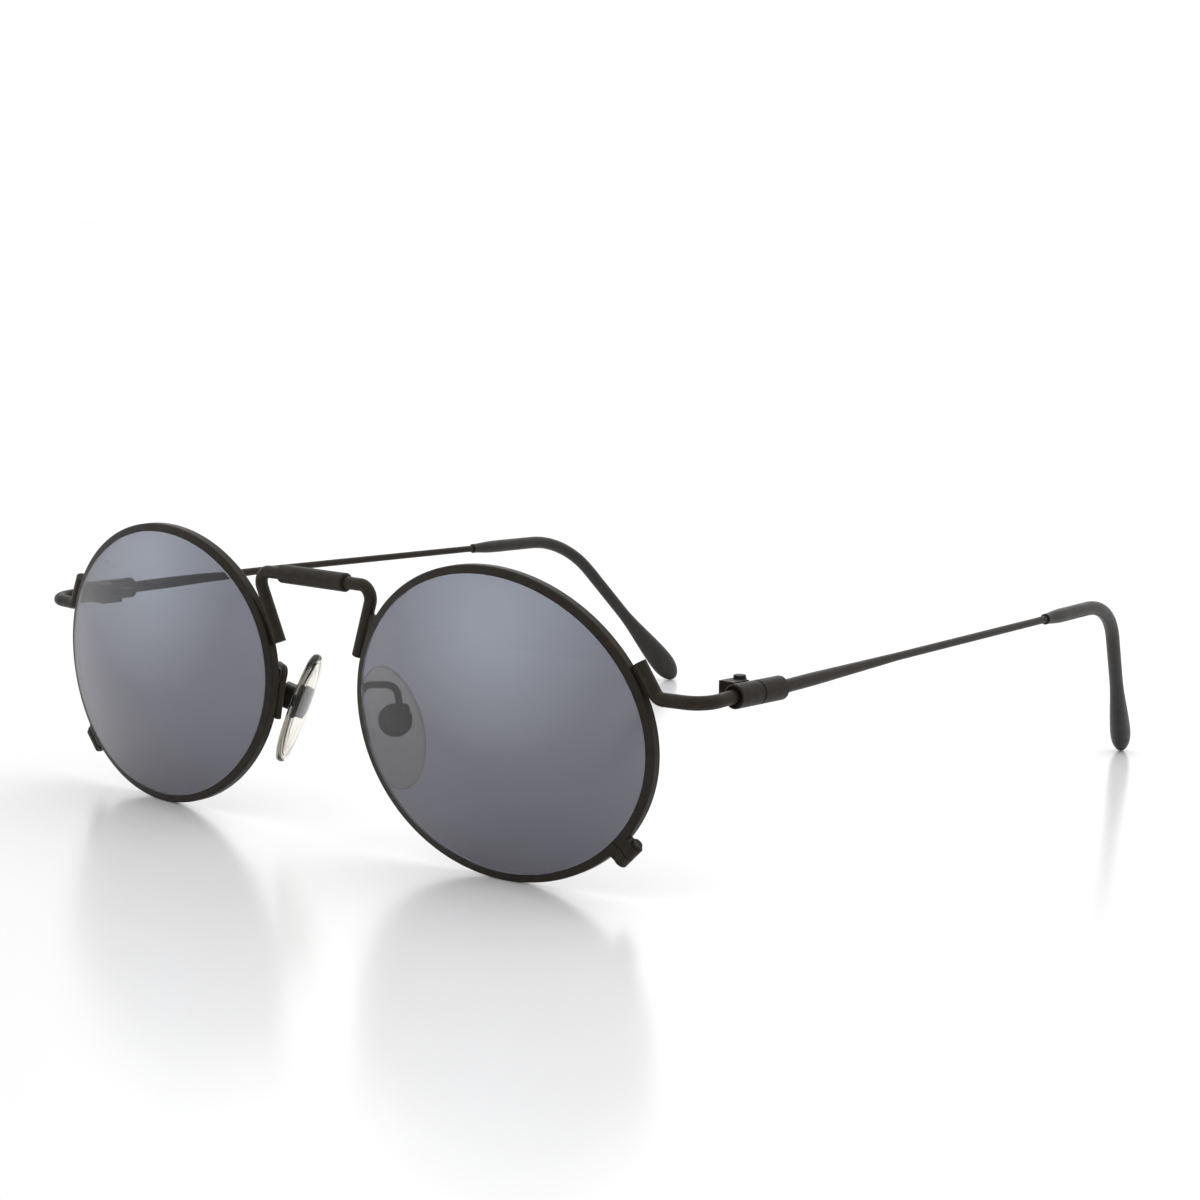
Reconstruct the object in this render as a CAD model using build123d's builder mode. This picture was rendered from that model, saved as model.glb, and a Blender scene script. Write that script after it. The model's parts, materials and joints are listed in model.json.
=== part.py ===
"""Round-oval metal sunglasses with a wire bridge, wire end pieces, barrel hinges and slip-on temple tips.

+X is the wearer's left, +Y runs back towards the ears and +Z is up. The origin is on the surface that the
open glasses stand on, at the middle of their plan. Every paired piece is drawn on the left and mirrored.
"""
from build123d import *
from math import cos, hypot, radians, sin, sqrt
import os

os.makedirs("parts", exist_ok=True)

# Lenses
lens_long_radius = 24.9  # half of the lens's long axis, as seen inside the rim
lens_short_radius = 20.38
lens_roll = -8.4  # degrees: the long axis drops towards the temple
lens_thickness = 1.7
lens_tongue = 0.4  # how far the bevel stands out of the lens edge
lens_bevel = 0.12
lens_fit = 0.03  # clearance all round the lens
base_radius = 86.0  # the sphere that the rim's front face lies on
wrap_angle = 4.2  # each lens turns this far round the face
forward_tilt = 1.95  # the top of the frame leans forward

# Rims
rim_gap = 18.4  # across the nose, between the rims' outer edges
rim_band = 1.15  # the rim's width seen from the front
rim_depth = 1.52
rim_round = 0.3
groove_width = 0.62
groove_depth = lens_tongue + lens_fit
rim_split = 0.14  # the slit where the rim opens to take its lens

# Closing blocks
block_angle = -31.6  # on the rim's ellipse, from its long axis
block_radius = 1.1
block_length = 3.7
block_outset = 1.1
closing_screw_radius = 0.5
closing_head_radius = 0.78
closing_head_height = 0.42

# Bridge
bridge_wire_radius = 0.92
bridge_foot_angle = 174.3
bridge_outset = 1.3
bridge_depth = 0.8
bridge_leg = 11.05
bridge_lean = 21.4
bridge_forward = 0.83  # how far the bridge stands in front of its feet
bridge_bend = 1.8
sleeve_radius = 1.36
sleeve_length = 13.5
sleeve_chamfer = 0.22
braze_width = 0.7  # the seam of braze between a wire and the rim
bridge_braze = 7.2

# End pieces
endpiece_radius = 0.96
stub_angle = 38.0
heel_angle = 25.3
stub_outset = 1.15
heel_outset = 1.35
endpiece_braze = 4.0
endpiece_depth = 0.76
endpiece_reach = 7.0  # from the rim out to the hinge
endpiece_setback = 7.0  # from the rim back to the barrel
heel_bend = 1.5
shoulder_bend = 3.4
shoulder_back = 0.9
hinge_rise = 0.3  # from the heel up to the barrel

# Hinges
barrel_radius = 1.66
front_barrel_length = 4.8
temple_barrel_length = 5.4
barrel_socket = 4.1
barrel_mouth = 0.45  # depth of the open mouth round the end-piece wire
mouth_wall = 0.3
barrel_chamfer = 0.12
shoulder_chamfer = 0.5
seam_gap = 0.12
knuckle_offset = 1.15
knuckle_radius = 0.95
knuckle_stack = 3.1
middle_knuckle = 1.0
knuckle_gap = 0.05
leaf_length = 3.2
leaf_root = 0.7  # the strap ends this share of the barrel's radius from its middle
hinge_screw_radius = 0.45
hinge_screw_fit = 0.04
hinge_head_radius = 0.86
hinge_head_height = 0.5

# Temples
neck_radius = 0.92
neck_length = 7.3
rod_radius = 0.58
taper_length = 22.0
neck_rise = 0.6
neck_inset = 1.65
ear_reach = 104.0  # from the hinge back to the corner of the ear bend
ear_inset = 7.8
ear_height = 0.75  # the corner is this much higher than the hinge
ear_bend = 17.5
tip_run = 24.6  # level distance from the corner to the tip's end
tip_inward = 22.9
core_short = 7.0  # the wire core stops this far before the tip's end

# Temple tips
tip_cover = 81.0  # from the hinge to where the tip starts, along the temple
tip_front_radius = 0.85
tip_bend_radius = 1.12
tip_bore_fit = 0.02
tip_swell = 5.0  # over which the tip thickens behind its front end
paddle_start = 18.5
paddle_half_width = 2.25
paddle_half_thickness = 1.7
paddle_cap = 4.2
body_sections = 20
cap_sections = 6

# Nose pads
pad_pivot_inset = 2.65  # from the rim's nasal edge towards the wearer's temple
pad_pivot_back = 6.3
pad_pivot_drop = 2.75  # below the middle of the lens
pad_face_turn = 31.0
pad_splay = 21.0
pad_length = 18.0
pad_width = 9.0
pad_thickness = 1.7
pad_drop = 0.9  # the pivot sits this much above the pad's middle
pad_shift = 0.65  # the pad's middle is this much nearer the front than the pivot
pad_standoff = 1.2
pad_lean = 8.0  # the pad's foot swings back in its own plane
pad_edge_round = 0.7
core_radius = 2.4
core_thickness = 0.6
lug_width = 1.3
lug_radius = 0.72
pad_fit = 0.06
box_width = 3.0
box_height = 3.6
box_front = 0.9  # from the pivot to the box's open face
box_round = 0.8
box_wall = 0.45
pad_screw_radius = 0.38
pad_screw_fit = 0.04
pad_head_radius = 0.72
pad_head_height = 0.4
arm_radius = 0.5
arm_foot_angle = 204.5
arm_lift_angle = 190.0
arm_outset = 0.1
arm_rise = 1.9
arm_bend = 1.5
arm_foot_bend = 4.0
arm_nest = 0.6  # share of the arm's radius that stands clear behind the rim
hook_outward = 0.2  # the hook's top stands this far towards the temple
hook_backward = 0.8  # the hook leans back this far as it rises
hook_front = 0.9  # it comes down this far in front of the box's back
hook_climb = 0.2  # its top is this much higher at the back
join_gap = 0.35  # from the box's back to the middle of the arm
join_rise = 0.6
slot_width = 0.18
slot_depth = 0.2

rim_long_radius = lens_long_radius + rim_band
rim_short_radius = lens_short_radius + rim_band
rim_half_width = hypot(rim_long_radius * cos(radians(lens_roll)), rim_short_radius * sin(radians(lens_roll)))
rim_half_height = hypot(rim_long_radius * sin(radians(lens_roll)), rim_short_radius * cos(radians(lens_roll)))
rim_sag = base_radius - sqrt(base_radius**2 - rim_half_height**2)

# The lens plane: its x axis runs towards the temple, its y axis up and its z axis out of the front.
wrap, tilt = radians(wrap_angle), radians(forward_tilt)
towards_temple = Vector(cos(wrap), sin(wrap), 0)
front_normal = Vector(sin(wrap) * cos(tilt), -cos(wrap) * cos(tilt), -sin(tilt))
lens_centre = Vector(
    rim_gap / 2 + rim_half_width * cos(wrap),
    0,
    rim_half_height * cos(tilt) - rim_sag * sin(tilt),
)
lens_plane = Plane(origin=lens_centre, x_dir=towards_temple, z_dir=front_normal)
sphere_centre = lens_centre - front_normal * base_radius
up = Vector(0, 0, 1)

pieces = {}


def keep_pair(name, part):
    """Keep a left-hand piece and its mirror image."""
    pieces[f"{name}_left"] = part
    pieces[f"{name}_right"] = mirror(part, about=Plane.YZ)


def rim_edge(angle, outset=0.0, depth=0.0):
    """A point beside the rim's outer edge: outset from it, and behind the rim's front face by depth."""
    x = rim_long_radius * cos(radians(angle))
    y = rim_short_radius * sin(radians(angle))
    outward = Vector(cos(radians(angle)) / rim_long_radius, sin(radians(angle)) / rim_short_radius).normalized()
    flat = (Vector(x, y) + outward * outset).rotate(Axis.Z, lens_roll)
    drop = base_radius - sqrt(base_radius**2 - flat.X**2 - flat.Y**2)
    return lens_plane.from_local_coords(Vector(flat.X, flat.Y, -drop - depth))


def rim_disc(long_radius, short_radius, front, back):
    """A disc with the lens's outline, between two spheres about the centre of the base curve."""
    reach = base_radius - sqrt(base_radius**2 - long_radius**2) + lens_thickness + rim_depth
    with BuildPart() as disc:
        with BuildSketch(lens_plane.offset(-reach)):
            Ellipse(long_radius, short_radius, rotation=lens_roll)
        extrude(amount=2 * reach)
        with Locations(sphere_centre):
            Sphere(base_radius + front, mode=Mode.INTERSECT)
            Sphere(base_radius + back, mode=Mode.SUBTRACT)
    return disc.part


def bar(points, bends, radius):
    """A round bar whose centre line runs through the points, with a bend at each one between its ends."""
    with BuildPart() as round_bar:
        with BuildLine() as line:
            FilletPolyline(*points, radius=bends)
        path = line.wires()[0]
        with BuildSketch(Plane(origin=path @ 0, z_dir=path % 0)):
            Circle(radius)
        sweep(path=path)
    return round_bar.part


def braze(start, towards, length, reach):
    """The seam of braze that joins a wire to the rim beside it, from the wire's end along its straight leg."""
    along = (towards - start).normalized()
    inward = lens_centre - start
    inward = (inward - along * inward.dot(along)).normalized()
    with BuildPart() as seam_metal:
        with BuildSketch(Plane(origin=start, x_dir=inward, z_dir=along)):
            with Locations((reach / 2, 0)):
                Rectangle(reach, braze_width)
        extrude(amount=length)
    return seam_metal.part


def slotted_screw(seat, head_radius, head_height, shank_radius, shank_length):
    """A screw whose head stands on the seat plane and whose shank runs below it."""
    with BuildPart() as screw:
        with BuildSketch(seat):
            Circle(head_radius)
        extrude(amount=head_height)
        fillet(screw.edges().filter_by(GeomType.CIRCLE).sort_by(Axis(seat.origin, seat.z_dir))[-1], head_height / 3)
        with BuildSketch(seat.offset(head_height)):
            Rectangle(3 * head_radius, slot_width)
        extrude(amount=-slot_depth, mode=Mode.SUBTRACT)
        with BuildSketch(seat):
            Circle(shank_radius)
        extrude(amount=-shank_length)
    return screw.part


# Eyewires: a grooved channel round each lens, slit at its closing block
rim_middle = -rim_depth / 2
with BuildPart() as rim_blank:
    add(rim_disc(rim_long_radius, rim_short_radius, 0, -rim_depth))
    fillet(rim_blank.edges().filter_by(lambda e: e.length > rim_short_radius), rim_round)

block_middle = rim_edge(block_angle, block_outset, rim_depth / 2)
block_along = (rim_edge(block_angle + 1) - rim_edge(block_angle - 1)).normalized()
block_outward = block_middle - rim_edge(block_angle, 0, rim_depth / 2)
block_plane = Plane(origin=block_middle, x_dir=block_outward, z_dir=block_along)

with BuildPart() as eyewire:
    add(rim_blank.part)
    add(rim_disc(lens_long_radius, lens_short_radius, rim_depth, -2 * rim_depth), mode=Mode.SUBTRACT)
    add(
        rim_disc(
            lens_long_radius + groove_depth,
            lens_short_radius + groove_depth,
            rim_middle + groove_width / 2,
            rim_middle - groove_width / 2,
        ),
        mode=Mode.SUBTRACT,
    )
    with BuildSketch(block_plane):
        Rectangle(8 * rim_band, 4 * rim_depth)
    extrude(amount=rim_split / 2, both=True, mode=Mode.SUBTRACT)
keep_pair("eyewire", eyewire.part)

# Lenses: a curved disc with a bevel that seats in the rim's groove
with BuildPart() as lens:
    add(
        rim_disc(
            lens_long_radius - lens_fit,
            lens_short_radius - lens_fit,
            rim_middle + lens_thickness / 2,
            rim_middle - lens_thickness / 2,
        )
    )
    chamfer(lens.edges().filter_by(lambda e: e.length > lens_short_radius), lens_bevel)
    add(
        rim_disc(
            lens_long_radius + lens_tongue,
            lens_short_radius + lens_tongue,
            rim_middle + groove_width / 2 - lens_fit,
            rim_middle - groove_width / 2 + lens_fit,
        )
    )
keep_pair("lens", lens.part)


# Closing blocks: two halves of a barrel, one soldered to each end of the rim, drawn together by a screw
def closing_block(side, bore_radius):
    half_length = block_length / 2 - rim_split / 2
    with BuildPart() as block:
        with BuildSketch(block_plane.offset(side * rim_split / 2)):
            Circle(block_radius)
            with Locations((-block_outset / 2 - rim_band / 4, 0)):
                Rectangle(block_outset + rim_band / 2, rim_depth)
        extrude(amount=side * half_length)
        far_end = block.faces().sort_by(Axis(block_plane.origin, block_plane.z_dir * side))[-1]
        chamfer(far_end.edges().filter_by(GeomType.CIRCLE), barrel_chamfer)
        with BuildSketch(block_plane):
            Circle(bore_radius)
        extrude(amount=side * block_length, mode=Mode.SUBTRACT)
        add(rim_blank.part, mode=Mode.SUBTRACT)
    return block.part


keep_pair("closing_block_upper", closing_block(1, closing_screw_radius + hinge_screw_fit))
keep_pair("closing_block_lower", closing_block(-1, closing_screw_radius))
keep_pair(
    "closing_screw",
    slotted_screw(
        block_plane.offset(block_length / 2),
        closing_head_radius,
        closing_head_height,
        closing_screw_radius,
        block_length + closing_head_height / 2,
    ),
)

# Bridge: one bent wire soldered beside both rims, with a sleeve over its middle
bridge_foot = rim_edge(bridge_foot_angle, bridge_outset, bridge_depth)
bridge_corner = bridge_foot + Vector(
    bridge_leg * sin(radians(bridge_lean)), -bridge_forward, bridge_leg * cos(radians(bridge_lean))
)
across = [bridge_foot, bridge_corner]
across += [Vector(-p.X, p.Y, p.Z) for p in reversed(across)]

with BuildPart() as bridge_wire:
    add(bar(across, [bridge_bend, bridge_bend], bridge_wire_radius))
    left_braze = braze(bridge_foot, bridge_corner, bridge_braze, bridge_outset + rim_band / 2)
    add(left_braze)
    add(mirror(left_braze, about=Plane.YZ))
    add(rim_blank.part, mode=Mode.SUBTRACT)
    add(mirror(rim_blank.part, about=Plane.YZ), mode=Mode.SUBTRACT)
pieces["bridge_wire"] = bridge_wire.part

sleeve_plane = Plane(origin=(0, bridge_corner.Y, bridge_corner.Z), z_dir=(1, 0, 0))
with BuildPart() as bridge_sleeve:
    with BuildSketch(sleeve_plane):
        Circle(sleeve_radius)
    extrude(amount=sleeve_length / 2, both=True)
    chamfer(bridge_sleeve.edges().filter_by(GeomType.CIRCLE), sleeve_chamfer)
    with BuildSketch(sleeve_plane):
        Circle(bridge_wire_radius)
    extrude(amount=sleeve_length, both=True, mode=Mode.SUBTRACT)
pieces["bridge_sleeve"] = bridge_sleeve.part

# End pieces: a wire soldered down the rim's edge, bent outwards at its heel and back into the hinge barrel
stub_top = rim_edge(stub_angle, stub_outset, endpiece_depth)
heel = rim_edge(heel_angle, heel_outset, endpiece_depth)
hinge_x = heel.X + endpiece_reach
hinge_z = heel.Z + hinge_rise
barrel_front = Vector(hinge_x, heel.Y + endpiece_setback, hinge_z)
seam = barrel_front + Vector(0, front_barrel_length, 0)
shoulder = Vector(hinge_x, heel.Y + shoulder_back, heel.Z)
socket_end = barrel_front + Vector(0, barrel_socket, 0)

with BuildPart() as endpiece_wire:
    run = [stub_top, heel, shoulder, barrel_front, socket_end]
    add(bar(run, [heel_bend, shoulder_bend, shoulder_bend], endpiece_radius))
    add(braze(stub_top, heel, endpiece_braze, heel_outset + rim_band / 3))
    add(rim_blank.part, mode=Mode.SUBTRACT)
keep_pair("endpiece_wire", endpiece_wire.part)

# Hinge barrels: two sleeves that butt at the seam when the temple is open
front_face = Plane(origin=barrel_front, x_dir=(1, 0, 0), z_dir=(0, 1, 0))
seam_face = Plane(origin=seam, x_dir=(1, 0, 0), z_dir=(0, 1, 0))

with BuildPart() as front_barrel:
    with BuildSketch(front_face):
        Circle(barrel_radius)
    extrude(amount=front_barrel_length)
    chamfer(front_barrel.edges().filter_by(GeomType.CIRCLE), barrel_chamfer)
    with BuildSketch(front_face):
        Circle(endpiece_radius)
    extrude(amount=barrel_socket, mode=Mode.SUBTRACT)
    with BuildSketch(front_face):
        Circle(barrel_radius - mouth_wall)
    extrude(amount=barrel_mouth, mode=Mode.SUBTRACT)
keep_pair("front_barrel", front_barrel.part)

temple_face = seam_face.offset(seam_gap)
with BuildPart() as temple_barrel:
    with BuildSketch(temple_face):
        Circle(barrel_radius)
    extrude(amount=temple_barrel_length)
    rings = temple_barrel.edges().filter_by(GeomType.CIRCLE).sort_by(Axis.Y)
    chamfer(rings[0], barrel_chamfer)
    chamfer(rings[-1], shoulder_chamfer)
    with BuildSketch(temple_face.offset(temple_barrel_length)):
        Circle(neck_radius)
    extrude(amount=-barrel_socket / 2, mode=Mode.SUBTRACT)
keep_pair("temple_barrel", temple_barrel.part)

# Hinge: two knuckles on the front barrel's inner side and one on the temple's, on a vertical screw
pivot = seam - Vector(barrel_radius + knuckle_offset, 0, 0)
leaf_inner = pivot.X - knuckle_radius
leaf_outer = hinge_x - barrel_radius * leaf_root


def leaf_outline(start, end):
    """The plan of a hinge leaf: a round knuckle and a strap along the barrel."""
    with Locations((pivot.X, pivot.Y)):
        Circle(knuckle_radius)
    with Locations(((leaf_inner + leaf_outer) / 2, (start + end) / 2)):
        Rectangle(leaf_outer - leaf_inner, abs(end - start))


with BuildPart() as front_leaf:
    with BuildSketch(Plane.XY.offset(hinge_z - knuckle_stack / 2)):
        leaf_outline(pivot.Y - leaf_length, pivot.Y - seam_gap)
    extrude(amount=knuckle_stack)
    slot_start = pivot.Y - knuckle_radius - seam_gap - knuckle_gap
    with BuildSketch(Plane.XY.offset(hinge_z)):
        with Locations((pivot.X, slot_start + leaf_length)):
            Rectangle(4 * barrel_radius + 4 * knuckle_radius, 2 * leaf_length)
    extrude(amount=middle_knuckle / 2 + knuckle_gap, both=True, mode=Mode.SUBTRACT)
    with BuildSketch(front_face):
        Circle(barrel_radius)
    extrude(amount=front_barrel_length, mode=Mode.SUBTRACT)
    with BuildSketch(Plane.XY.offset(hinge_z)):
        with Locations((pivot.X, pivot.Y)):
            Circle(hinge_screw_radius)
    extrude(amount=knuckle_stack, both=True, mode=Mode.SUBTRACT)
keep_pair("front_hinge_leaf", front_leaf.part)

with BuildPart() as temple_leaf:
    with BuildSketch(Plane.XY.offset(hinge_z)):
        leaf_outline(pivot.Y + seam_gap, pivot.Y + leaf_length)
    extrude(amount=middle_knuckle / 2, both=True)
    with BuildSketch(seam_face):
        Circle(barrel_radius)
    extrude(amount=temple_barrel_length, mode=Mode.SUBTRACT)
    with BuildSketch(Plane.XY.offset(hinge_z)):
        with Locations((pivot.X, pivot.Y)):
            Circle(hinge_screw_radius + hinge_screw_fit)
    extrude(amount=knuckle_stack, both=True, mode=Mode.SUBTRACT)
keep_pair("temple_hinge_leaf", temple_leaf.part)

keep_pair(
    "hinge_screw",
    slotted_screw(
        Plane(origin=pivot + up * knuckle_stack / 2, x_dir=(1, 0, 0), z_dir=(0, 0, 1)),
        hinge_head_radius,
        hinge_head_height,
        hinge_screw_radius,
        knuckle_stack,
    ),
)

# Temple: a turned neck that tapers to a thin rod, whose core runs on inside the tip
barrel_end = Vector(hinge_x, temple_face.origin.Y + temple_barrel_length, hinge_z)
rod_start = barrel_end + Vector(-neck_inset, neck_length + taper_length, neck_rise)
neck_end = barrel_end + (rod_start - barrel_end) * (neck_length / (neck_length + taper_length))
ear_corner = Vector(hinge_x - ear_inset, seam.Y + ear_reach, hinge_z + ear_height)
tip_level = Vector(-sin(radians(tip_inward)), cos(radians(tip_inward)), 0)


def tip_axis(end_z):
    """The tip's straight end: the point where it stops and the way it points."""
    end = ear_corner + tip_level * tip_run
    end = Vector(end.X, end.Y, end_z)
    return end, (end - ear_corner).normalized()


fall = -tip_axis(0)[1].Z
lowest = hypot(paddle_cap * fall, paddle_half_width * sqrt(1 - fall**2))
tip_end, tip_way = tip_axis(lowest - paddle_cap * fall)
core_end = tip_end - tip_way * core_short

with BuildPart() as temple_wire:
    with BuildSketch(Plane(origin=barrel_end, x_dir=(1, 0, 0), z_dir=(0, 1, 0))):
        Circle(neck_radius)
    extrude(amount=-barrel_socket / 2)
    with Locations(barrel_end):
        Sphere(neck_radius)
    neck_plane = Plane(origin=barrel_end, z_dir=rod_start - barrel_end)
    slant = (rod_start - barrel_end).length
    with BuildSketch(neck_plane):
        Circle(neck_radius)
    extrude(amount=(neck_end - barrel_end).length)
    with BuildSketch(neck_plane.offset((neck_end - barrel_end).length)):
        Circle(neck_radius)
    with BuildSketch(neck_plane.offset(slant)):
        Circle(rod_radius)
    loft()
    with Locations(rod_start):
        Sphere(rod_radius)
    add(bar([rod_start, ear_corner, core_end], [ear_bend], rod_radius))
keep_pair("temple_wire", temple_wire.part)

# Temple tip: a slip-on moulding that swells over the ear and ends in a rounded paddle
with BuildLine() as tip_line:
    FilletPolyline(rod_start, ear_corner, tip_end, radius=[ear_bend])
tip_path = tip_line.wires()[0]
tip_start = tip_cover - (rod_start.Y - seam.Y)
thin_way = Vector(cos(radians(tip_inward)), sin(radians(tip_inward)), 0)


def smooth_step(t):
    t = max(0.0, min(1.0, t))
    return t * t * (3 - 2 * t)


def tip_section(distance):
    """The tip's half thickness and half width at a distance along the temple's path."""
    to_end = tip_path.length - distance
    stem = tip_front_radius + (tip_bend_radius - tip_front_radius) * smooth_step((distance - tip_start) / tip_swell)
    spread = smooth_step((paddle_start - to_end) / (paddle_start - paddle_cap))
    cap = sqrt(1 - max(0.0, 1 - to_end / paddle_cap) ** 2)
    half_thickness = (stem + (paddle_half_thickness - stem) * spread) * cap
    half_width = (stem + (paddle_half_width - stem) * spread) * cap
    return half_thickness, half_width


cap_start = tip_path.length - paddle_cap
distances = [tip_start + (cap_start - tip_start) * i / body_sections for i in range(body_sections)]
distances += [cap_start + paddle_cap * sin(radians(90 * i / cap_sections)) for i in range(cap_sections)]

with BuildPart() as temple_tip:
    for distance in distances:
        centre = tip_path.position_at(distance, position_mode=PositionMode.LENGTH)
        way = tip_path.tangent_at(distance, position_mode=PositionMode.LENGTH)
        side = thin_way - way * thin_way.dot(way)
        with BuildSketch(Plane(origin=centre, x_dir=side, z_dir=way)):
            Ellipse(*tip_section(distance))
    loft()
    add(bar([rod_start, ear_corner, core_end], [ear_bend], rod_radius + tip_bore_fit), mode=Mode.SUBTRACT)
keep_pair("temple_tip", temple_tip.part)

# Nose pads: each rocks on a cross screw in a box at the end of a hooked arm
nasal_edge = rim_edge(180)
pad_pivot = Vector(nasal_edge.X + pad_pivot_inset, nasal_edge.Y + pad_pivot_back, lens_centre.Z - pad_pivot_drop)
pad_across = Vector(sin(radians(pad_face_turn)), cos(radians(pad_face_turn)), 0)
pad_level = Vector(-cos(radians(pad_face_turn)), sin(radians(pad_face_turn)), 0)
pad_face = pad_level * cos(radians(pad_splay)) - up * sin(radians(pad_splay))
pad_plane = Plane(origin=pad_pivot, x_dir=pad_across, z_dir=pad_face)
box_back_depth = lug_radius + 2 * pad_fit + box_wall
box_depth = box_back_depth + box_front

with BuildPart() as pad_core:
    with BuildSketch(pad_plane.offset(pad_standoff + (pad_thickness - core_thickness) / 2)):
        Circle(core_radius)
    extrude(amount=core_thickness)
    with BuildSketch(Plane(origin=pad_pivot, x_dir=pad_face, z_dir=pad_across)):
        Circle(lug_radius)
        with Locations(((pad_standoff + pad_thickness / 2) / 2, 0)):
            Rectangle(pad_standoff + pad_thickness / 2, 2 * lug_radius)
    extrude(amount=lug_width / 2, both=True)
    with BuildSketch(Plane(origin=pad_pivot, x_dir=pad_face, z_dir=pad_across)):
        Circle(pad_screw_radius + pad_screw_fit)
    extrude(amount=lug_width, both=True, mode=Mode.SUBTRACT)
keep_pair("pad_core", pad_core.part)

with BuildPart() as nose_pad:
    with BuildSketch(pad_plane.offset(pad_standoff)):
        with Locations(Location((0, 0), -pad_lean)):
            with Locations((-pad_shift, pad_drop)):
                Ellipse(pad_width / 2, pad_length / 2)
    extrude(amount=pad_thickness)
    fillet(nose_pad.edges().filter_by(lambda e: e.length > pad_width), pad_edge_round)
    add(pad_core.part, mode=Mode.SUBTRACT)
keep_pair("nose_pad", nose_pad.part)

# The pad box is open towards the nose
with BuildPart() as pad_box:
    with BuildSketch(pad_plane.offset(-box_back_depth)):
        RectangleRounded(box_width, box_height, box_round)
    extrude(amount=box_depth)
    with BuildSketch(pad_plane.offset(-box_back_depth + box_wall)):
        Rectangle(lug_width + 2 * pad_fit, box_height - 2 * box_wall)
    extrude(amount=box_depth, mode=Mode.SUBTRACT)
    with BuildSketch(Plane(origin=pad_pivot, x_dir=pad_face, z_dir=pad_across)):
        Circle(pad_screw_radius)
    extrude(amount=box_width, both=True, mode=Mode.SUBTRACT)
keep_pair("pad_box", pad_box.part)

keep_pair(
    "pad_screw",
    slotted_screw(
        Plane(origin=pad_pivot + pad_across * box_width / 2, x_dir=pad_face, z_dir=pad_across),
        pad_head_radius,
        pad_head_height,
        pad_screw_radius,
        box_width,
    ),
)

arm_foot = rim_edge(arm_foot_angle, arm_outset, rim_depth + arm_radius * arm_nest)
arm_lift = rim_edge(arm_lift_angle, arm_outset, rim_depth + arm_radius * arm_nest)
box_back = pad_pivot - pad_face * box_back_depth
arm_top_front = Vector(arm_lift.X + hook_outward, arm_lift.Y + hook_backward, arm_lift.Z + arm_rise)
arm_top_back = Vector(box_back.X + hook_outward, box_back.Y - hook_front, arm_top_front.Z + hook_climb)
arm_join = box_back - pad_face * join_gap + up * join_rise

with BuildPart() as pad_arm:
    add(
        bar(
            [arm_foot, arm_lift, arm_top_front, arm_top_back, arm_join],
            [arm_foot_bend, arm_bend, arm_bend],
            arm_radius,
        )
    )
    with Locations(arm_join):
        Sphere(arm_radius)
    add(rim_blank.part, mode=Mode.SUBTRACT)
    with BuildSketch(pad_plane.offset(-box_back_depth)):
        RectangleRounded(box_width, box_height, box_round)
    extrude(amount=box_depth, mode=Mode.SUBTRACT)
keep_pair("pad_arm", pad_arm.part)

# The origin is under the middle of the whole object's plan
boxes = [piece.bounding_box() for piece in pieces.values()]
front, back = min(b.min.Y for b in boxes), max(b.max.Y for b in boxes)
middle = Vector(0, (front + back) / 2, min(b.min.Z for b in boxes))
for node, piece in pieces.items():
    placed = piece.moved(Location(-middle))
    placed.label = node
    export_step(placed, f"parts/{node}.step")


def tell(name, point):
    spot = point - middle
    print(name, [round(c / 1000, 6) for c in (spot.X, spot.Y, spot.Z)])


tell("hinge pivot", pivot)
tell("pad pivot", pad_pivot)
print("pad axis", [round(c, 6) for c in (pad_across.X, pad_across.Y, pad_across.Z)])
tell("lens centre", lens_centre)
tell("barrel end", barrel_end)
tell("ear corner", ear_corner)
tell("tip end", tip_end)
print("front to back", round(back - front, 2))
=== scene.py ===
"""Round wire sunglasses on a pale studio floor: materials, moulded nose pads, light and camera.

The pads' sizes below repeat those of the CAD model.
"""
import json
from math import cos, pi, radians, sin

import bmesh
import bpy
from mathutils import Matrix, Vector


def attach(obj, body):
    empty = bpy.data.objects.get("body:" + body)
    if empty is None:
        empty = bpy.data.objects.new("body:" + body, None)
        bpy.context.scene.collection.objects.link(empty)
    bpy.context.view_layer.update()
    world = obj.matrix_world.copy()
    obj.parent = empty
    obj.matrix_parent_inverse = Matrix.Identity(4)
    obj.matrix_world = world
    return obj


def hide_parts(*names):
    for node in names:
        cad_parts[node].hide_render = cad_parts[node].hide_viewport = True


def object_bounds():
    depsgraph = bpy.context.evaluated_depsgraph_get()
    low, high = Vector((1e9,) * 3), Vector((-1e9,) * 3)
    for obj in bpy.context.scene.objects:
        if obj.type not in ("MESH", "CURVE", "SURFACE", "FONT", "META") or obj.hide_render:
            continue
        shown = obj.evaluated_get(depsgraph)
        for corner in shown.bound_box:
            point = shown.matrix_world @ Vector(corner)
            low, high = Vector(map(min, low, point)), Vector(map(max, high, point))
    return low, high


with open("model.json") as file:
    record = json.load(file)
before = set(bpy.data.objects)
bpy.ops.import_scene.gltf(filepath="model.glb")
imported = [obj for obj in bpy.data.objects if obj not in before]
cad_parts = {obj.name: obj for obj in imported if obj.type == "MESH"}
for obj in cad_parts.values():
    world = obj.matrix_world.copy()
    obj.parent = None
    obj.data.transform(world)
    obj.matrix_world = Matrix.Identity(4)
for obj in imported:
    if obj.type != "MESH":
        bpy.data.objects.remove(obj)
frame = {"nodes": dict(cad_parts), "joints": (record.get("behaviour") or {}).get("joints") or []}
cad_low, cad_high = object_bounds()
nodes = frame["nodes"]
joints = {j["name"]: j for j in frame["joints"]}
scene = bpy.context.scene
scene.view_settings.view_transform = "Standard"

MM = 0.001
SIDES = ("left", "right")


# Materials -----------------------------------------------------------------------------------------


def material(name):
    """An empty node material: its node tree and its shader."""
    made = bpy.data.materials.new(name)
    made.use_nodes = True
    return made, made.node_tree, made.node_tree.nodes["Principled BSDF"]


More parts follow.
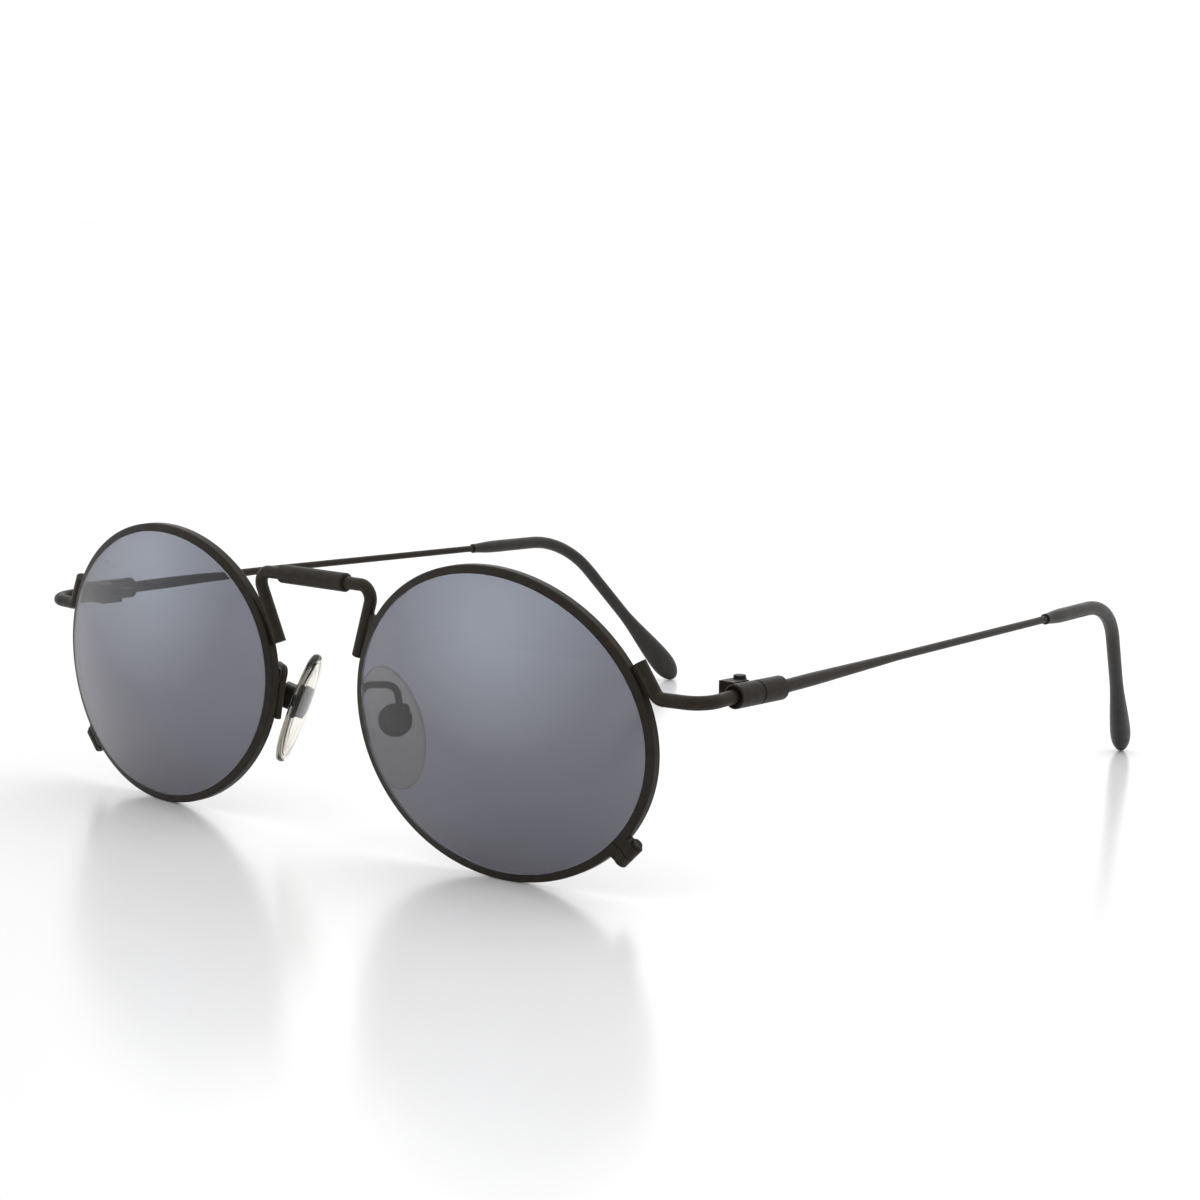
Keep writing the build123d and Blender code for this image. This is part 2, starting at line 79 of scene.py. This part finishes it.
def add(tree, kind, **values):
    """A node with its properties set by name, and its input sockets by 'in_' and the socket's name."""
    node = tree.nodes.new(kind)
    for key, value in values.items():
        if key.startswith("in_"):
            node.inputs[key[3:].replace("_", " ")].default_value = value
        else:
            setattr(node, key, value)
    return node


def noise(tree, per_metre, detail=4.0, roughness=0.55, stretch=(1, 1, 1)):
    """A noise in the object's own coordinates; its grain is 1/per_metre metres."""
    place = add(tree, "ShaderNodeTexCoord")
    shape = add(tree, "ShaderNodeMapping", in_Scale=stretch)
    grain = add(tree, "ShaderNodeTexNoise", in_Scale=per_metre, in_Detail=detail)
    grain.inputs["Roughness"].default_value = roughness
    tree.links.new(place.outputs["Object"], shape.inputs["Vector"])
    tree.links.new(shape.outputs["Vector"], grain.inputs["Vector"])
    return grain.outputs["Fac"]


def ramp(tree, source, stops):
    """A colour ramp over the source: stops are (position, colour)."""
    band = add(tree, "ShaderNodeValToRGB")
    while len(band.color_ramp.elements) < len(stops):
        band.color_ramp.elements.new(0.5)
    for element, (position, colour) in zip(band.color_ramp.elements, stops):
        element.position = position
        element.color = (*colour, 1) if len(colour) == 3 else colour
    tree.links.new(source, band.inputs["Fac"])
    return band.outputs["Color"]


def remap(tree, source, from_low, from_high, to_low, to_high):
    """A value carried from one range to another."""
    span = add(tree, "ShaderNodeMapRange", in_From_Min=from_low, in_From_Max=from_high)
    span.inputs["To Min"].default_value = to_low
    span.inputs["To Max"].default_value = to_high
    tree.links.new(source, span.inputs["Value"])
    return span.outputs["Result"]


def mix(tree, share, first, second):
    """Two colours mixed; each is a socket or a plain colour."""
    blend = add(tree, "ShaderNodeMix", data_type="RGBA")
    tree.links.new(share, blend.inputs["Factor"])
    for socket, value in ((blend.inputs[6], first), (blend.inputs[7], second)):
        if isinstance(value, bpy.types.NodeSocket):
            tree.links.new(value, socket)
        else:
            socket.default_value = (*value, 1)
    return blend.outputs[2]


def bump(tree, shader, source, height, strength):
    """A relief of the given height on the shader's surface."""
    relief = add(tree, "ShaderNodeBump", in_Strength=strength, in_Distance=height)
    tree.links.new(source, relief.inputs["Height"])
    tree.links.new(relief.outputs["Normal"], shader.inputs["Normal"])


def paint(name, dark, light, chip, rough, grain=700.0):
    """Satin enamel over metal: cloudy colour, uneven gloss, fine orange-peel and a few rubbed specks."""
    made, tree, shader = material(name)
    cloud = noise(tree, grain)
    tone = ramp(tree, cloud, [(0.32, dark), (0.68, light)])
    specks = ramp(tree, noise(tree, 2600.0, 2.0, 0.4), [(0.72, (0, 0, 0)), (0.80, (1, 1, 1))])
    tree.links.new(mix(tree, specks, tone, chip), shader.inputs["Base Color"])
    gloss = remap(tree, noise(tree, 1900.0), 0.3, 0.7, rough - 0.06, rough + 0.08)
    tree.links.new(gloss, shader.inputs["Roughness"])
    bump(tree, shader, noise(tree, 5200.0, 3.0), 0.012 * MM, 0.55)
    shader.inputs["IOR"].default_value = 1.5
    shader.inputs["Specular IOR Level"].default_value = 0.2
    return made


frame_paint = paint(
    "frame_paint",
    (0.0125, 0.0088, 0.0056),
    (0.0215, 0.0155, 0.0100),
    (0.050, 0.036, 0.022),
    0.44,
)
sleeve_paint = paint(
    "sleeve_paint", (0.0115, 0.0083, 0.0056), (0.0190, 0.0140, 0.0093), (0.042, 0.031, 0.020), 0.46, 900.0
)
screw_steel = paint(
    "screw_steel", (0.014, 0.012, 0.010), (0.030, 0.026, 0.021), (0.12, 0.10, 0.075), 0.34, 2500.0
)
core_metal = paint(
    "core_metal", (0.012, 0.009, 0.0065), (0.025, 0.0185, 0.0125), (0.07, 0.052, 0.032), 0.38, 1800.0
)

tip_plastic, tree, shader = material("tip_plastic")
tone = ramp(
    tree, noise(tree, 420.0, 5.0, 0.6), [(0.3, (0.0130, 0.0105, 0.0082)), (0.7, (0.0230, 0.0190, 0.0150))]
)
tree.links.new(tone, shader.inputs["Base Color"])
gloss = remap(tree, noise(tree, 1300.0, 4.0, 0.6, (1, 0.25, 1)), 0.3, 0.7, 0.36, 0.5)
tree.links.new(gloss, shader.inputs["Roughness"])
bump(tree, shader, noise(tree, 3800.0, 3.0), 0.010 * MM, 0.4)
shader.inputs["IOR"].default_value = 1.49
shader.inputs["Specular IOR Level"].default_value = 0.35

LENS_FOOT = 1 * MM
LENS_TOP = 43 * MM
REFLECTION_PATCH_MIDDLE = (36 * MM, 0, 36 * MM)  # a painted reflection: the lighter patch in each lens's colour, drawn on the left
REFLECTION_PATCH_CORE = 3 * MM
REFLECTION_PATCH_REACH = 19 * MM

smoke_lens, tree, shader = material("smoke_lens")
place = add(tree, "ShaderNodeTexCoord")
split = add(tree, "ShaderNodeSeparateXYZ")
tree.links.new(place.outputs["Object"], split.inputs["Vector"])
# The lens colour is darker at its foot and lighter towards its top.
height = remap(tree, split.outputs["Z"], LENS_FOOT, LENS_TOP, 0.0, 1.0)
lens_colour_and_painted_reflection = ramp(
    tree,
    height,
    [(0.0, (0.088, 0.086, 0.104)), (0.45, (0.128, 0.128, 0.156)), (1.0, (0.178, 0.186, 0.226))],
)
# A painted reflection follows: a lighter blue-grey patch near the top of each lens, mirrored across the
# middle, mixed into the lens colour.
sideways = add(tree, "ShaderNodeMath", operation="ABSOLUTE")
tree.links.new(split.outputs["X"], sideways.inputs[0])
reflection_spot = add(tree, "ShaderNodeCombineXYZ")
tree.links.new(sideways.outputs["Value"], reflection_spot.inputs["X"])
tree.links.new(split.outputs["Z"], reflection_spot.inputs["Z"])
reach = add(tree, "ShaderNodeVectorMath", operation="DISTANCE")
reach.inputs[1].default_value = REFLECTION_PATCH_MIDDLE
tree.links.new(reflection_spot.outputs["Vector"], reach.inputs[0])
painted_reflection = remap(tree, reach.outputs["Value"], REFLECTION_PATCH_CORE, REFLECTION_PATCH_REACH, 0.5, 0.0)
# The painted reflection's colour, strongest at the patch's middle.
lens_colour_and_painted_reflection = mix(tree, painted_reflection, lens_colour_and_painted_reflection, (0.36, 0.39, 0.46))
clouds = remap(tree, noise(tree, 70.0, 2.0), 0.3, 0.7, 0.0, 0.12)
tree.links.new(mix(tree, clouds, lens_colour_and_painted_reflection, (0.15, 0.155, 0.19)), shader.inputs["Base Color"])
shader.inputs["Roughness"].default_value = 0.0
shader.inputs["Transmission Weight"].default_value = 1.0
shader.inputs["IOR"].default_value = 1.5

pad_silicone, tree, shader = material("pad_silicone")
tone = ramp(tree, noise(tree, 240.0, 3.0), [(0.3, (0.88, 0.85, 0.72)), (0.7, (0.95, 0.93, 0.84))])
# The dark line round each pad's edge is painted shade, mixed into the silicone's colour from a mesh
# attribute.
edge = add(tree, "ShaderNodeAttribute", attribute_name="edge")
tree.links.new(mix(tree, edge.outputs["Fac"], tone, (0.22, 0.205, 0.17)), shader.inputs["Base Color"])
shader.inputs["Roughness"].default_value = 0.0
shader.inputs["Transmission Weight"].default_value = 1.0
shader.inputs["IOR"].default_value = 1.41

looks = {
    "lens": smoke_lens,
    "temple_tip": tip_plastic,
    "closing_screw": screw_steel,
    "hinge_screw": screw_steel,
    "pad_screw": screw_steel,
    "pad_core": core_metal,
    "nose_pad": pad_silicone,
    "bridge_sleeve": sleeve_paint,
    "front_barrel": sleeve_paint,
    "temple_barrel": sleeve_paint,
}


def dress(obj, look):
    """Give an object one material."""
    obj.data.materials.clear()
    obj.data.materials.append(look)


for name, node in nodes.items():
    kind = name.removesuffix("_left").removesuffix("_right")
    dress(node, looks.get(kind, frame_paint))

# Nose pads -----------------------------------------------------------------------------------------

PAD_SPLAY = radians(21.0)
PAD_LEAN = radians(8.0)
PAD_STANDOFF = 1.2 * MM
PAD_THICKNESS = 1.7 * MM
PAD_HALF_WIDTH = 4.5 * MM
PAD_HALF_LENGTH = 9.0 * MM
PAD_DROP = 0.9 * MM
PAD_SHIFT = 0.65 * MM
PAD_CROWN = 0.28 * MM  # the face towards the nose is this much fuller in the middle
PAD_DISH = 0.22 * MM  # the back sinks this much inside its lip
PAD_EDGE_ROUND = 0.42  # the edge's radius, as a share of the thickness
PAD_LIP = 0.16  # the lip's width, as a share of the way in
PAD_FULLER = 0.05  # how much the foot is fuller than an ellipse
PAD_PAINTED_SHADE_TRIM = 4  # steps left clear on each side of the edge's line of painted shade
PAD_SEGMENTS = 96
PAD_RINGS = 14
PAD_EDGE_STEPS = 12


def pad_outline(turn):
    """The pad's outline: an ellipse that is a little fuller at its foot."""
    across, down = cos(turn), sin(turn)
    fuller = 1 - PAD_FULLER * max(0.0, -down)
    return Vector((PAD_HALF_WIDTH * across * fuller, PAD_HALF_LENGTH * down))


def pad_profile():
    """The section from the middle of the face, round the edge, to the middle of the back. The face and
    the back are (share of the outline, height), and the edge is (inset from the outline, height)."""
    round_radius = PAD_THICKNESS * PAD_EDGE_ROUND
    front = []
    for i in range(PAD_RINGS):
        share = i / PAD_RINGS
        front.append((share, PAD_THICKNESS - PAD_CROWN * share**2))
    face_edge = PAD_THICKNESS - PAD_CROWN
    edge = []
    for i in range(PAD_EDGE_STEPS + 1):
        turn = pi / 2 - pi * i / PAD_EDGE_STEPS
        edge.append((round_radius * (1 - cos(turn)), face_edge / 2 + face_edge / 2 * sin(turn)))
    back = []
    for i in range(PAD_RINGS):
        share = 1 - (i + 1) / PAD_RINGS
        lip = max(0.0, min(1.0, (1 - share) / PAD_LIP))
        lip = lip * lip * (3 - 2 * lip)
        back.append((share, PAD_DISH * lip))
    return front, edge, back, round_radius


def pad_mesh(side):
    """A closed shell round the pad's own axes, with a line of painted shade marked along its edge."""
    joint = joints[f"pad_rock_{side}"]
    pivot, across = Vector(joint["pos_m"]), Vector(joint["axis"]).normalized()
    up = Vector((0, 0, 1))
    level = across.cross(up)
    if level.x * pivot.x > 0:
        level.negate()
    face = level * cos(PAD_SPLAY) - up * sin(PAD_SPLAY)
    down = across.cross(face)
    if down.z > 0:
        down.negate()
    long_way = down * cos(PAD_LEAN) + across * sin(PAD_LEAN)
    short_way = across * cos(PAD_LEAN) - down * sin(PAD_LEAN)
    centre = pivot + face * PAD_STANDOFF + long_way * PAD_DROP - short_way * PAD_SHIFT
    front, edge, back, round_radius = pad_profile()
    verts, faces = [], []
    rings = []

    def ring(shrink, inset, height):
        start = len(verts)
        for i in range(PAD_SEGMENTS):
            turn = 2 * pi * i / PAD_SEGMENTS
            flat = pad_outline(turn)
            reach = flat.length
            rim = flat.normalized() * (round_radius - inset)
            flat = flat * ((reach - round_radius) / reach) * shrink + rim
            verts.append(centre + short_way * flat.x + long_way * flat.y + face * height)
        rings.append(start)

    def pole(height):
        verts.append(centre + face * height)
        return len(verts) - 1

    top = pole(PAD_THICKNESS)
    for share, height in front[1:]:
        ring(share, round_radius, height)
    for inset, height in edge:
        ring(1.0, inset, height)
    for share, height in back[:-1]:
        ring(share, round_radius, height)
    bottom = pole(back[-1][1])
    for a, b in zip(rings, rings[1:]):
        for i in range(PAD_SEGMENTS):
            j = (i + 1) % PAD_SEGMENTS
            faces.append((a + i, b + i, b + j, a + j))
    for i in range(PAD_SEGMENTS):
        j = (i + 1) % PAD_SEGMENTS
        faces.append((top, rings[0] + i, rings[0] + j))
        faces.append((bottom, rings[-1] + j, rings[-1] + i))
    mesh = bpy.data.meshes.new(f"silicone_pad_{side}")
    mesh.from_pydata([tuple(v) for v in verts], [], faces)
    # Marks the rings round the pad's edge for the line of painted shade.
    dark = mesh.attributes.new("edge", "FLOAT", "POINT")
    turned = rings[len(front) - 1 : len(front) - 1 + len(edge)]
    for start in turned[PAD_PAINTED_SHADE_TRIM:-PAD_PAINTED_SHADE_TRIM]:
        for i in range(start, start + PAD_SEGMENTS):
            dark.data[i].value = 1.0
    shell = bmesh.new()
    shell.from_mesh(mesh)
    bmesh.ops.recalc_face_normals(shell, faces=shell.faces)
    shell.to_mesh(mesh)
    shell.free()
    return mesh


for side in SIDES:
    mesh = pad_mesh(side)
    pad = bpy.data.objects.new(f"silicone_pad_{side}", mesh)
    scene.collection.objects.link(pad)
    for polygon in mesh.polygons:
        polygon.use_smooth = True
    dress(pad, pad_silicone)
    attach(pad, f"pad_{side}")
    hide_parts(f"nose_pad_{side}")

# Studio --------------------------------------------------------------------------------------------

FLOOR_SIZE = 600.0
FLOOR_CLEARANCE = 0.02 * MM
floor_mesh = bpy.data.meshes.new("studio_floor")
half = FLOOR_SIZE / 2
floor_mesh.from_pydata(
    [(-half, -half, 0), (half, -half, 0), (half, half, 0), (-half, half, 0)], [], [(0, 1, 2, 3)]
)
floor = bpy.data.objects.new("studio_floor", floor_mesh)
floor.location.z = cad_low.z - FLOOR_CLEARANCE
scene.collection.objects.link(floor)
floor_white, tree, shader = material("floor_white")
tone = ramp(tree, noise(tree, 0.3, 1.0), [(0.3, (0.875, 0.875, 0.875)), (0.7, (0.885, 0.885, 0.885))])
tree.links.new(tone, shader.inputs["Base Color"])
tree.links.new(remap(tree, noise(tree, 12.0, 2.0), 0.3, 0.7, 0.20, 0.24), shader.inputs["Roughness"])
shader.inputs["IOR"].default_value = 1.45
dress(floor, floor_white)

world = bpy.data.worlds.new("studio")
world.use_nodes = True
scene.world = world
tree = world.node_tree
background = tree.nodes["Background"]
place = add(tree, "ShaderNodeTexCoord")
lit_way = add(tree, "ShaderNodeVectorMath", operation="DOT_PRODUCT")
lit_way.inputs[1].default_value = (-0.45, 0.55, 0.70)
tree.links.new(place.outputs["Generated"], lit_way.inputs[0])
level = remap(tree, lit_way.outputs["Value"], -0.55, 0.25, 0.0, 1.0)
sky = ramp(tree, level, [(0.0, (0.62, 0.62, 0.62)), (1.0, (1.08, 1.08, 1.08))])
tree.links.new(sky, background.inputs["Color"])
background.inputs["Strength"].default_value = 1.0


def softbox(name, place, aim, size, power):
    """A soft rectangular light that faces a point."""
    light = bpy.data.lights.new(name, "AREA")
    light.shape = "RECTANGLE"
    light.size, light.size_y = size
    light.energy = power
    lamp = bpy.data.objects.new(name, light)
    lamp.location = place
    lamp.rotation_mode = "QUATERNION"
    lamp.rotation_quaternion = (Vector(aim) - Vector(place)).to_track_quat("-Z", "Y")
    scene.collection.objects.link(lamp)
    return lamp


middle = (cad_low + cad_high) / 2
softbox("top_softbox", (0.1, 0.35, 1.1), middle, (1.4, 0.9), 1.4)
softbox("back_softbox", (-0.9, 1.3, 0.7), middle, (1.2, 0.8), 1.6)

# Camera: in front and to the wearer's left, a little above the lenses
VIEW_TURN = radians(41.015)
VIEW_RISE = radians(8.068)
VIEW_ROLL = radians(0.737)
VIEW_DISTANCE = 0.33716
VIEW_TARGET = Vector((0.05615, cad_low.y + 0.4 * MM, 0.04106))
VIEW_FOCUS = 78.78  # mm, on a 36 mm sensor

backwards = Vector((sin(VIEW_TURN) * cos(VIEW_RISE), -cos(VIEW_TURN) * cos(VIEW_RISE), sin(VIEW_RISE)))
right = Vector((cos(VIEW_TURN), sin(VIEW_TURN), 0))
above = backwards.cross(right)
camera_x = right * cos(VIEW_ROLL) + above * sin(VIEW_ROLL)
camera_y = above * cos(VIEW_ROLL) - right * sin(VIEW_ROLL)
lens_data = bpy.data.cameras.new("camera")
lens_data.lens = VIEW_FOCUS
lens_data.sensor_width = 36.0
lens_data.clip_start, lens_data.clip_end = 0.01, 1000.0
camera = bpy.data.objects.new("camera", lens_data)
camera.matrix_world = Matrix.Translation(VIEW_TARGET + backwards * VIEW_DISTANCE) @ Matrix(
    (camera_x, camera_y, backwards)
).transposed().to_4x4()
scene.collection.objects.link(camera)
scene.camera = camera
